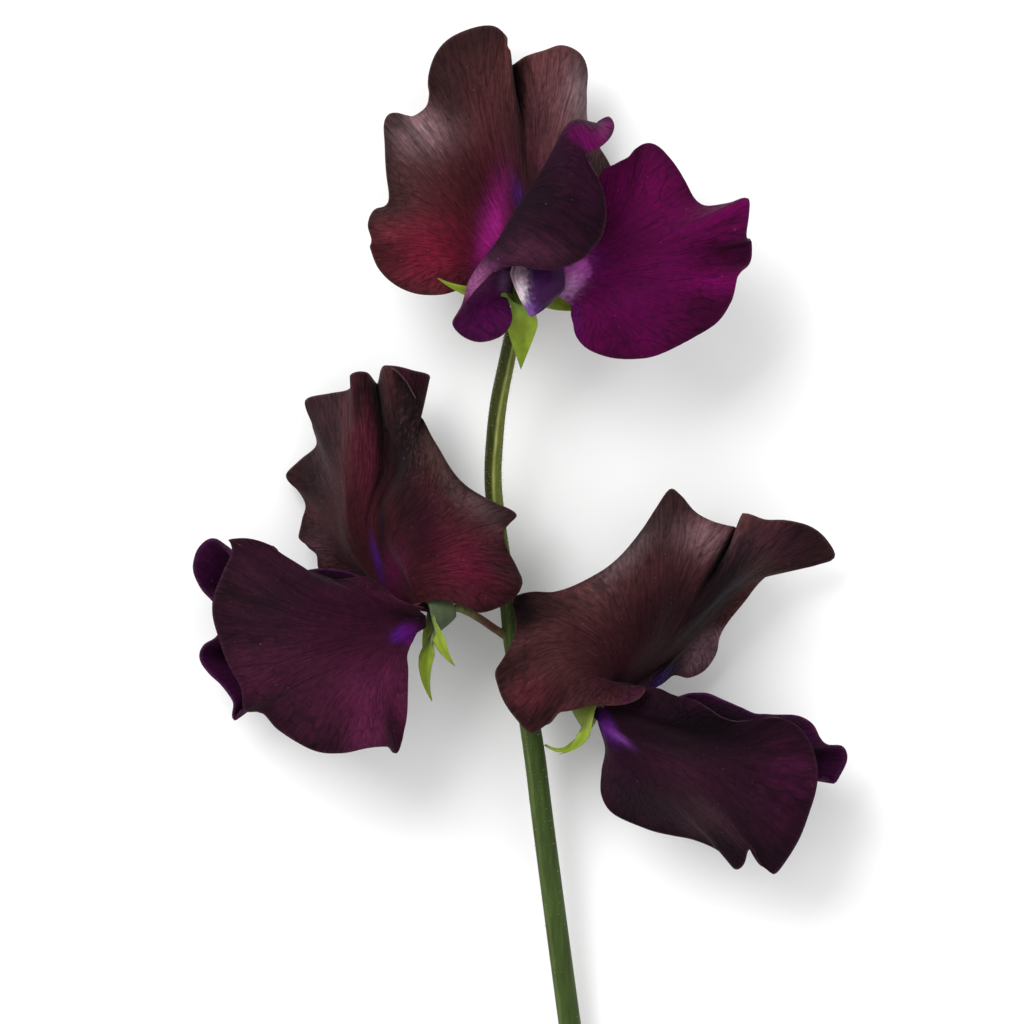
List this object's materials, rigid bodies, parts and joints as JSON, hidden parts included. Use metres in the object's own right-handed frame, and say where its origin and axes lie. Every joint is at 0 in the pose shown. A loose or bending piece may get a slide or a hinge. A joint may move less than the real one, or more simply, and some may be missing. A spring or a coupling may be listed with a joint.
{
  "type": "sweet pea flower",
  "caption": "Cut stem of a sweet pea lying on its side, with dark maroon ruffled blooms, each with a creased banner, wings, a keel and a green calyx.",
  "frame": {"origin": "on the surface that the spray lies on, under the middle of its outer box", "axes": "+Y up the stem from the cut end towards the top bloom, +Z away from the surface, +X to the right as seen from above"},
  "size_m": [0.0822, 0.1512, 0.0277],
  "materials": {
    "banner": "velvety",
    "wing": "velvety",
    "keel": "satin",
    "calyx": "satin",
    "stem": "satin"
  },
  "bodies": {
    "root": {"stem": "stem", "calyx_top": "calyx", "calyx_left": "calyx", "calyx_right": "calyx", "keel_top": "keel", "keel_left": "keel", "keel_right": "keel", "banner_top": "banner", "banner_left": "banner", "banner_right": "banner", "left_wing_top": "wing", "right_wing_top": "wing", "near_wing_left": "wing", "far_wing_left": "wing", "near_wing_right": "wing", "far_wing_right": "wing"}
  },
  "joints": []
}
